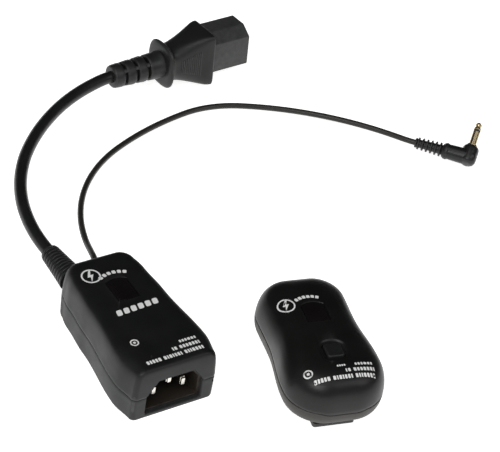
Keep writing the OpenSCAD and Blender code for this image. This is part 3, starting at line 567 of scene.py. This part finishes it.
transmitter_base = shell("transmitter_base_cover", TX_CASE,
                         [(TX_BASE_OUTSIDE, 22), (TX_BASE_INSIDE, 6)],
                         "transmitter_base_moulding", TX_CASE_PLACE, jog)
door_opening = prism(rounded(31.5, 40, 0.4, 3), [(5, 0), (10.7, 0)], y=34.25)
wheel_hole = upright(lathe([(5, 4.62), (15, 4.62)]), 0, WHEEL_Y)
dip_opening = prism(DIP_OPENING, [(5, 0.35), (9.0, 0.3), (9.35, 0), (15, 0)], y=3)
cut(transmitter_base, [
    (door_opening, TX), (wheel_hole, TX), (dip_opening, TX),
    *screw_holes([(13.4, -27.6), (14.2, 8.5)],
                 [(8, 2.7), (9, 2.55), (9.25, 2.3), (10.75, 2.3), (10.9, 1.2), (14, 1.2)], TX)])
dress(transmitter_base, "transmitter", "tx_bottom_shell", "tx_case_bottom")

# battery door: the base's outer form, trimmed to the door outline, with finger grooves
door = shell("battery_door_cover", TX_CASE, [(TX_BASE_OUTSIDE[:-1], 20)],
             "transmitter_base_moulding", TX_CASE_PLACE)
cut(door, [(prism(rounded(31, 40, 0.5, 3), [(5, 0), (10.5, 0)], y=34.5), TX)], "INTERSECT")
cut(door, [(prism(rounded(11, 0.75, 0.35, 4), [(8, 0.2), (9.0, 0.12), (9.35, -0.12)],
                  y=28.3 - 1.55 * i), TX) for i in range(6)])
dress(door, "battery_door", "battery_door", "tx_case_bottom")

make("transmitter_led_window",
     prism(arch(10.1, 11.7, 1.85), [(28.25, 0), (29.95, 0), (30.15, -0.06), (30.23, -0.35)],
           y=3.65),
     "smoked_window", TX, body="transmitter", replaces="tx_led_window", slot="window")

# test button, flanged below and gently dished on top: z, growth
BUTTON_SECTIONS = [
    (26.75, 1.15), (27.5, 1.15), (27.55, 0.02), (28.25, 0), (30.0, 0), (30.37, -0.12),
    (30.55, -0.4), (30.61, -0.75), (30.58, -1.3), (30.52, -2.2), (30.48, -3.2)]
make("test_button_cap", prism(rounded(7.7, 7.7, 1.2, 8), BUTTON_SECTIONS, y=BUTTON_Y),
     "button_moulding", TX, body="test_button", replaces="test_button", slot="button")


# ------------------------------------------------------------------ cords
def cord(name, start, path, radius, paint, node, sides):
    section = circle(0, radius, sides)
    rings = [station(section) for station in walk(start, path, step=0.9)]
    make(name, loft(rings), paint, body=node, replaces=node, slot="cord_rubber")


cord("mains_cord_sheath", MAINS_START, MAINS_PATH, 2.97, "cord_sheath", "mains_cord", 28)
cord("sync_cord_sheath", SYNC_START, SYNC_PATH, 1.43, "sync_cord_sheath", "sync_cord", 20)


def boot_profile():
    """Soft rings on a taper, with a collar at the case wall."""
    first, length, count = -6.85, 19.3, 10
    wide, narrow = 6.18, 4.38
    pitch = length / count
    # one ring: part of the pitch, change of radius
    ring = [(0.06, -0.55), (0.16, -0.12), (0.3, 0), (0.55, 0), (0.72, -0.1), (0.84, -0.55)]
    rows = [(-11.9, 0.02), (-11.9, 4.9), (-11.7, 5.08), (-7.0, 5.08), (-6.88, 5.9)]
    for i in range(count):
        for part, change in ring:
            x = first + length * i / count + part * pitch
            along = (x - first) / length
            rows.append((x, wide + (narrow - wide) * along**0.85 + change))
    return rows + [(12.5, 4.2), (12.68, 3.9), (12.7, 3.02), (12.0, 2.99), (-11.2, 2.99)]


mains_boot = make("mains_boot_sleeve", lathe(boot_profile(), 56), "cord_sheath", MAINS_START,
                  sharp=50, replaces="mains_boot", slot="cord_rubber")


# ------------------------------------------------------------------ mains plug
def strain_profile():
    """Four soft segments parted by deep grooves."""
    rows = [(0.05, 3.0), (0.02, 4.3), (0.15, 5.1), (0.6, 5.6), (1.3, 5.8)]
    core = 4.1
    # distance outside the groove, drop from the taper
    lip = [(1.4, 0), (0.45, 0.03), (0.12, 0.18), (0, 0.5)]
    for start, end in [(5.3, 6.9), (11.7, 13.3), (18.1, 19.7)]:
        before, after = [5.8 + (6.9 - 5.8) * x / 28 for x in (start, end)]
        rows += [(start - away, taper_radius(start - away if away == 1.4 else start - away) - drop)
                 for away, drop in lip]
        rows += [(start + 0.08, core), (end - 0.08, core)]
        rows += [(end + away, taper_radius(end + away) - drop) for away, drop in lip[::-1]]
    return rows + [(25, 6.8), (27.8, 6.9), (STRAIN_END, 5.0), (STRAIN_END, 0.02)]


def strain_profile():
    """Four soft segments on a taper, parted by deep grooves."""
    rows = [(0.05, 3.0), (0.02, 4.3), (0.15, 5.1), (0.6, 5.6), (1.3, 5.8)]
    core = 4.1
    # a groove's lip: distance from the groove's edge, drop in radius
    lip = [(1.4, 0), (0.45, 0.03), (0.12, 0.18), (0, 0.5)]
    for start, end in [(5.3, 6.9), (11.7, 13.3), (18.1, 19.7)]:
        at_start, at_end = [5.8 + (6.9 - 5.8) * x / 28 for x in (start, end)]
        rows += [(start - away, at_start - drop) for away, drop in lip]
        rows += [(start + 0.08, core), (end - 0.08, core)]
        rows += [(end + away, at_end - drop) for away, drop in lip[::-1]]
    return rows + [(25, 6.8), (27.8, 6.9), (STRAIN_END, 5.0), (STRAIN_END, 0.02)]


def strain_sleeve():
    """The segments, and webs that tie them, high and low on each side."""
    points, faces = prism(rounded(1.7, 2.2, 0.4, 3),
                          [(1.5, -0.2), (4, 0), (24, 0.25), (27.8, 0.3)], "x")
    points[:, 2] += 4.75
    webs = [(points @ turn_x(angle).T, faces) for angle in (45, 135, 225, 315)]
    return join([lathe(strain_profile(), 56), *webs])


plug_strain = make("plug_strain_sleeve", strain_sleeve(), "plug_overmould", PLUG, sharp=50,
                   replaces="plug_strain_relief", slot="plug_plastic")

# Overmould: x, half width, half height, power of the rounded-square section
OVERMOULD = [
    (STRAIN_END, 8.4, 8.2, 2.4), (27.95, 9.4, 9.0, 2.6), (28.4, 10.9, 10.3, 2.7),
    (29.1, 11.6, 11.0, 2.8), (29.8, 11.6, 11.0, 2.8), (30.5, 10.9, 10.2, 2.8),
    (31.1, 9.6, 9.0, 2.9), (32.0, 8.9, 8.2, 3.0), (34, 8.9, 7.95, 3.1), (37, 9.7, 8.0, 3.3),
    (41, 11.0, 8.3, 3.9), (45, 12.3, 8.8, 5.0), (48.5, 13.3, 9.4, 7), (50.8, 13.85, 9.85, 9),
    (53.2, 14.1, 10.1, 11), (54.1, 14.05, 10.05, 11), (54.35, 13.8, 9.8, 11)]
PLUG_FACE = inlet_face(24.04, 15.94, cut_x=4.3, cut_z=6, low_ease=0.9, high_ease=0.5)


def super_ring(x, half_wide, half_high, power, count=96):
    angles = np.linspace(0, 2 * math.pi, count, endpoint=False)
    cos, sin = np.cos(angles), np.sin(angles)
    y = half_wide * np.sign(cos) * np.abs(cos) ** (2 / power)
    z = half_high * np.sign(sin) * np.abs(sin) ** (2 / power)
    return np.c_[np.full(count, x), y, z]


overmould = make("plug_overmould", loft([super_ring(*row) for row in smooth_levels(OVERMOULD, 60)]),
                 "plug_overmould", PLUG)
cut(overmould, [(prism(PLUG_FACE, [(47.2, 0), (53.8, 0), (54.2, 0.12), (56, 0.5)], "x"), PLUG)])
dress(overmould, "mains_plug", "plug_body", "plug_plastic")


def grip_ribs():
    """Fine ribs across the two wide faces, longer toward the nose."""
    stations, _, heights, _ = np.array(OVERMOULD).T
    ribs = []
    for side in (-1, 1):
        for i in range(11):
            x = 36.4 + 1.06 * i
            top = float(np.interp(x, stations, heights))
            points, faces = prism(rounded(0.60, 6.6 + 0.66 * i, 0.29, 4),
                                  [(-0.6, 0.05), (0.06, 0.02), (0.26, -0.12)])
            z = side * (points[:, 2] + top - 0.02)
            ribs.append((np.c_[points[:, 0] + x, points[:, 1], z], faces))
    return join(ribs)


make("plug_grip_ribs", grip_ribs(), "plug_overmould", PLUG, body="mains_plug",
     slot="plug_plastic")

# nose block with its three contact openings
nose = make("plug_nose_block",
            prism(PLUG_FACE, [(47.45, -0.05), (47.5, 0), (75.95, 0), (76.25, -0.14),
                              (76.38, -0.45)], "x"),
            "plug_nose_moulding", PLUG, sharp=24)
cut(nose, [(prism(rounded(3.3, 5.1, 0.3, 4) + np.array(spot),
                  [(56.2, 0), (75.9, 0), (76.3, 0.2), (77.2, 0.5)], "x"), PLUG)
           for spot in [(-7, -2), (7, -2), (0, 2)]], sharp=24)
dress(nose, "mains_plug", "plug_nose", "nose_plastic")

# ------------------------------------------------------------------ sync boot and plug
# Profiles: distance along the axis, radius
SYNC_BOOT = [
    (-3.7, 0.02), (-3.75, 2.3), (-3.6, 2.48), (2.6, 2.48), (3.1, 2.42), (8.0, 2.12),
    (8.4, 1.95), (8.55, 1.7), (8.58, 1.45), (-3, 1.45)]
BARREL = [
    (14.6, 0.02), (14.6, 3.3), (14.75, 3.65), (15.1, 3.95), (15.9, 4.12), (16.5, 4.1),
    (16.8, 3.85), (17.3, 3.72), (18.2, 3.78), (22, 3.92), (26, 4.0), (27.8, 4.0),
    (29.2, 3.8), (30.4, 3.1), (31.1, 1.9), (31.3, 0.02)]
DRUM = [
    (-4.1, 0.02), (-4.08, 1.2), (-3.85, 2.5), (-3.2, 3.45), (-2.2, 3.95), (-1.0, 4.1),
    (3.9, 4.1), (4.8, 3.98), (5.45, 3.6), (5.85, 3.0), (DRUM_END, 2.6), (DRUM_END, 0.02)]
PIN_SLEEVE = [
    (0, 0.02), (0, 2.6), (0.1, 2.7), (0.65, 2.7), (0.8, 2.55), (0.82, 1.76), (8.45, 1.75),
    (8.6, 1.62), (8.6, 0.02)]
PIN_RING = [(8.6, 0.02), (8.6, 1.55), (8.7, 1.7), (9.5, 1.7), (9.6, 1.55), (9.6, 0.02)]
PIN_TIP = [
    (9.6, 0.02), (9.6, 1.62), (9.72, 1.75), (10.4, 1.75), (10.7, 1.66), (11.1, 1.25),
    (11.35, 1.16), (11.6, 1.25), (12.0, 1.55), (12.25, 1.64), (12.55, 1.62), (12.9, 1.45),
    (13.6, 0.9), (13.95, 0.45), (14.0, 0.02)]

sync_boot = make("sync_boot_sleeve", lathe(SYNC_BOOT, 36), "sync_cord_sheath", SYNC_START,
                 sharp=50, replaces="sync_boot", slot="cord_rubber")


def sync_strain_profile():
    """Six rings that grow toward the plug."""
    rows = [(0.05, 1.46), (0.0, 1.9), (0.1, 2.25), (0.4, 2.45), (0.9, 2.4)]
    for i in range(6):
        x, radius, core = 1.25 + 2.2 * i, 3.05 + 0.5 * i / 5, 2.05 + 0.35 * i / 5
        rows += [(x, core), (x + 0.1, core + 0.5), (x + 0.22, radius - 0.12), (x + 0.42, radius),
                 (x + 0.75, radius), (x + 0.95, radius - 0.12), (x + 1.1, core + 0.5),
                 (x + 1.22, core)]
    return rows + [(14.0, 2.6), (14.2, 3.3), (14.58, 3.5), (14.6, 0.02)]


sync_strain = make("sync_plug_strain_sleeve", lathe(sync_strain_profile(), 44),
                   "sync_plug_overmould", JACK, sharp=50,
                   replaces="jack_strain_relief", slot="jack_rubber")

# elbow: a barrel, and a short drum across it round the pin
drum_points, drum_faces = lathe(DRUM, 56)
drum = (drum_points[:, [1, 0, 2]] + np.array([DRUM_X, 0, 0]), drum_faces)
make("sync_plug_elbow", join([lathe(BARREL, 56), drum]), "sync_plug_overmould", JACK,
     body="sync_plug", replaces="jack_body", slot="jack_rubber")

for name, profile, paint, node, slot in [
        ("sync_plug_sleeve", PIN_SLEEVE, "gold_plate", "jack_sleeve", "gold"),
        ("sync_plug_ring", PIN_RING, "black_epoxy", "jack_insulator", "component"),
        ("sync_plug_tip", PIN_TIP, "gold_plate", "jack_tip", "gold")]:
    make(name, lathe(profile, 40), paint, PIN, sharp=40, body="sync_plug", replaces=node, slot=slot)

# ------------------------------------------------------------------ lock wheel
# radius, z, scallop depth
WHEEL_ROWS = [
    (4.58, 5.2, 0), (7.0, 5.16, 0), (10.9, 5.16, 0.9), (11.5, 5.22, 1), (11.85, 5.5, 1),
    (11.95, 5.9, 1), (11.95, 7.7, 1), (11.85, 8.1, 1), (11.5, 8.38, 1), (10.9, 8.45, 0.9),
    (8.0, 8.45, 0), (7.6, 8.58, 0), (7.2, 8.64, 0), (4.58, 8.64, 0)]


def wheel_ring(radius, z, depth, scallops=24, steps=12):
    half_scallop = 1.05
    points = []
    for i in range(scallops * steps):
        angle = 2 * math.pi * i / (scallops * steps)
        part = (i % steps) / steps  # 0 at a scallop's centre
        away = min(part, 1 - part) * 2 * math.pi / scallops * 12.0
        dip = math.sqrt(max(0.0, half_scallop**2 - away * away)) * 0.72 * depth
        points.append(((radius - dip) * math.cos(angle), (radius - dip) * math.sin(angle), z))
    return np.array(points)


wheel_rings = [wheel_ring(*row) for row in WHEEL_ROWS]
make("lock_wheel_knob", loft(wheel_rings + wheel_rings[:1], capped=False), "wheel_moulding",
     TX.then((0, WHEEL_Y, 0)), sharp=38, body="lock_wheel", replaces="lock_wheel",
     slot="foot_plastic")

# ------------------------------------------------------------------ CAD nodes that stay
# node: material, bevel width in mm
KEPT_NODES = {
    "inlet_housing": ("inlet_moulding", 0.25), "inlet_pins": ("nickel_plate", 0.35),
    "mains_conductors": ("wire_insulation", 0), "plug_contacts": ("nickel_plate", 0.1),
    "rx_led": ("led_lens", 0), "rx_circuit_board": ("solder_mask", 0.1),
    "rx_supply_capacitor": ("capacitor_film", 0.3),
    "rx_smoothing_capacitor": ("capacitor_sleeve", 0.3), "rx_rf_module": ("solder_mask", 0.1),
    "rx_antenna_coil": ("copper_wire", 0), "rx_trigger_triac": ("black_epoxy", 0.15),
    "rx_dip_switch_body": ("red_moulding", 0.15), "rx_case_screws": ("zinc_screw", 0.15),
    "tx_led": ("led_lens", 0), "tact_switch": ("black_epoxy", 0.15),
    "tx_circuit_board": ("solder_mask", 0.1), "tx_rf_module": ("solder_mask", 0.1),
    "tx_antenna_coil": ("copper_wire", 0), "tx_dip_switch_body": ("red_moulding", 0.15),
    "tx_case_screws": ("zinc_screw", 0.15), "battery": ("battery_sleeve", 0.3),
    "battery_contacts": ("nickel_plate", 0.1), "shoe_foot": ("foot_moulding", 0.2),
    "shoe_screws": ("zinc_screw", 0.1), "clamp_plate": ("stamped_steel", 0.12),
    "centre_contact": ("gold_plate", 0), "contact_spring": ("stamped_steel", 0)}
for i in (1, 2, 3, 4):
    for unit in ("rx", "tx"):
        KEPT_NODES[f"{unit}_dip_slider_{i}"] = ("white_moulding", 0.1)

for name, (paint, width) in KEPT_NODES.items():
    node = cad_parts[name]
    node.data.materials.clear()
    node.data.materials.append(materials[paint])
    if width:
        bevel = node.modifiers.new("ease", "BEVEL")
        bevel.width, bevel.segments = width * MM, 2
        bevel.limit_method, bevel.angle_limit = "ANGLE", math.radians(35)


# ------------------------------------------------------------------ printed marks
def prints(name, shapes, place, cover, body, slot):
    """Thin ink pads: each outline is dropped onto the cover; one that misses is left out."""
    mesh = cover.data
    tree = BVHTree.FromPolygons([vertex.co.copy() for vertex in mesh.vertices],
                                [tuple(face.vertices) for face in mesh.polygons])
    pads = []
    for shape in shapes:
        above = place(np.c_[shape, np.full(len(shape), 40.0)])
        above[:, 1] -= HALF
        hits = [tree.ray_cast(Vector(point), Vector((0, 0, -1)))[0] for point in above * MM]
        if None in hits:
            continue
        flat = above[:, :2] * MM
        z = np.array([hit.z for hit in hits])
        points, faces = loft([np.c_[flat, z - 0.04 * MM], np.c_[flat, z + 0.05 * MM]])
        pads.append((points, faces[-2:] + faces[:-2]))
    piece = add_piece(name, *join(pads), "white_print")
    finish_mesh(piece, 30, 0)
    dress(piece, body, slot=slot)


def block(x, y, width, height, slant=0.0, turn=0.0):
    points = rounded(width, height, min(width, height) * 0.25, 3)
    points[:, 0] += points[:, 1] * slant
    return points @ turn_z(turn).T[:2, :2] + np.array([x, y])


def dashes(x, y, height, widths, gap=0.42):
    """A row of plain pads that ends at x; a negative width is a space."""
    pads = []
    for width in widths[::-1]:
        if width > 0:
            pads.append(block(x - width / 2, y, width, height))
        x -= abs(width) + gap
    return pads


def bolt(x, y, size):
    """Plain lightning flash, the usual sign for a strobe."""
    points = np.array([(0.12, 1.0), (-0.5, -0.12), (-0.08, -0.12), (-0.3, -1.0), (0.5, 0.22),
                       (0.08, 0.22), (0.42, 1.0)])
    return points * size + np.array([x, y])


def ring_mark(x, y, radius, width):
    return [np.array(arc(x, y, radius, start, start + 90, 10)
                     + arc(x, y, radius - width, start + 90, start, 10))
            for start in (0, 90, 180, 270)]


def dot_mark(x, y):
    return ring_mark(x, y, 1.9, 0.55) + [block(x, y, 1.1, 1.1)]


def arc_blocks(x, y, radius, first, last, width, height):
    """Six blocks along an arc."""
    return [block(x + radius * math.cos(math.radians(angle)),
                  y + radius * math.sin(math.radians(angle)), width, height, turn=angle - 90)
            for angle in np.linspace(first, last, 6)]


# pad widths of the three rows, nearest the front first
LONG_ROW = [1.1, 0.8, 1.0, 0.9, 1.2, -0.5, 1.2, 0.6, 1.1, 0.6, 0.9, 1.0, 0.6, -0.5, 1.1, 0.7,
            0.6, 1.1, 1.0, 1.0, 0.8]
MIDDLE_ROW = [0.6, 1.1, -0.5, 1.2, 1.0, 1.0, 1.1, 1.0, 1.0, 0.6]
SHORT_ROW = [0.9, 0.9, 0.9, 1.2, 1.0, 0.8]

prints("receiver_print", [
    bolt(-8.6, 61.0, 3.3), *ring_mark(-8.5, 61.0, 4.3, 0.7),
    *arc_blocks(0.5, 47.6, 12.2, 118, 62, 1.7, 1.9),
    *[block(-8.3 + 3.5 * i, 36.0 + 0.2 * i, 2.5, 3.3, 0.18) for i in range(6)],
    *dot_mark(-11.2, 17.8), *dashes(14.2, 5.0, 1.9, LONG_ROW),
    *dashes(14.2, 8.3, 1.8, MIDDLE_ROW), *dashes(14.0, 11.3, 1.4, SHORT_ROW),
], WORLD, receiver_top, "receiver", "case_top")
prints("transmitter_print", [
    bolt(-11.2, 15.0, 3.0), *ring_mark(-11.1, 15.0, 3.9, 0.65),
    *arc_blocks(-0.6, 8.4, 10.4, 120, 66, 1.5, 1.7),
    *dot_mark(-14.6, -25.0),
    *[block(-1.5 + 1.0 * i, -23.6, 0.75, 1.0) for i in range(4)],
    *dashes(13.4, -29.4, 1.8, LONG_ROW), *dashes(14.0, -26.4, 1.7, MIDDLE_ROW),
    *dashes(13.8, -23.6, 1.3, SHORT_ROW),
], TX, transmitter_top, "transmitter", "tx_case_top")


# ------------------------------------------------------------------ sleeves baked into the layout
def point_along(place, distance):
    x, y, z = place((distance, 0, 0))[0]
    return (x * MM, (y - HALF) * MM, z * MM)


for piece, fixed, moving, place, start, end in [
        (mains_boot, "receiver", "mains_cord", MAINS_START, -6, 9),
        (sync_boot, "receiver", "sync_cord", SYNC_START, -3, 6.5),
        (plug_strain, "mains_cord", "mains_plug", PLUG, 0, 22),
        (sync_strain, "sync_cord", "sync_plug", JACK, 0, 12)]:
    point_along(place, start)
    point_along(place, end)
    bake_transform(piece)

# ------------------------------------------------------------------ floor, lights, world
bpy.ops.mesh.primitive_plane_add(size=4, location=(0.09, 0.05, -0.0002))
floor = bpy.context.object
floor.name = "floor"
floor_paint = bpy.data.materials.new("pale_floor")
floor_paint.use_nodes = True
for key, value in {
        "Base Color": (0.92, 0.92, 0.915, 1), "Roughness": 0.6, "Specular IOR Level": 0.2,
        "Emission Color": (1.0, 1.0, 0.99, 1), "Emission Strength": 0.85}.items():
    floor_paint.node_tree.nodes["Principled BSDF"].inputs[key].default_value = value
floor.data.materials.append(floor_paint)

# name, location and aim in metres, size in metres, power in watts
for name, location, aim, size, power in [
        ("key", (-0.55, -0.45, 0.80), (0.06, 0.02, 0), 0.5, 4.5),
        ("fill", (0.55, -0.60, 0.85), (0.08, 0.03, 0), 0.6, 2.4),
        ("over", (-0.10, -0.05, 1.20), (0.08, 0.05, 0), 0.7, 2.4)]:
    light = bpy.data.lights.new(name, "AREA")
    light.shape = "RECTANGLE"
    light.size, light.size_y, light.energy = size, size, power
    lamp = bpy.data.objects.new(name, light)
    scene.collection.objects.link(lamp)
    lamp.location = location
    lamp.rotation_euler = (Vector(aim) - Vector(location)).to_track_quat("-Z", "Y").to_euler()

# a soft room: bright on the camera's side, falling off behind the set
world = bpy.data.worlds.new("studio")
world.use_nodes = True
nodes, link = world.node_tree.nodes, world.node_tree.links.new
background = nodes["Background"]
direction = nodes.new("ShaderNodeTexCoord")
facing = nodes.new("ShaderNodeVectorMath")
facing.operation = "DOT_PRODUCT"
facing.inputs[1].default_value = (0.62, 0.78, 0.0)  # away from the camera
link(direction.outputs["Generated"], facing.inputs[0])
falloff = nodes.new("ShaderNodeMapRange")
falloff.interpolation_type = "SMOOTHSTEP"
for key, value in {"From Min": -0.5, "From Max": 0.45, "To Min": 0.34, "To Max": 0.03}.items():
    falloff.inputs[key].default_value = value
link(facing.outputs["Value"], falloff.inputs["Value"])
background.inputs[0].default_value = (0.93, 0.95, 1.0, 1)
link(falloff.outputs[0], background.inputs[1])
scene.world = world

# ------------------------------------------------------------------ camera
CAMERA_AIM = (92.826, 89.83 - HALF, 0.0)  # on the floor, mm from the frame's origin
CAMERA_DISTANCE = 943.82
azimuth, elevation, roll = [math.radians(angle) for angle in (-37.852, 38.951, 10.286)]

camera_data = bpy.data.cameras.new("camera")
camera = bpy.data.objects.new("camera", camera_data)
scene.collection.objects.link(camera)
back = np.array([math.sin(azimuth) * math.cos(elevation),
                 -math.cos(azimuth) * math.cos(elevation), math.sin(elevation)])
level = np.array([math.cos(azimuth), math.sin(azimuth), 0.0])
upward = np.cross(back, level)
axis_x = math.cos(roll) * level + math.sin(roll) * upward
axis_y = -math.sin(roll) * level + math.cos(roll) * upward
location = (np.array(CAMERA_AIM) + back * CAMERA_DISTANCE) * MM
pose = np.eye(4)
pose[:3] = np.c_[axis_x, axis_y, back, location]
camera.matrix_world = Matrix(pose.tolist())
camera_data.sensor_width = 36.0
camera_data.lens = 146.777112
camera_data.clip_start, camera_data.clip_end = 0.01, 20
scene.camera = camera
scene.view_settings.view_transform = "Standard"
scene.view_settings.look = "None"
scene.view_settings.exposure = 0.0
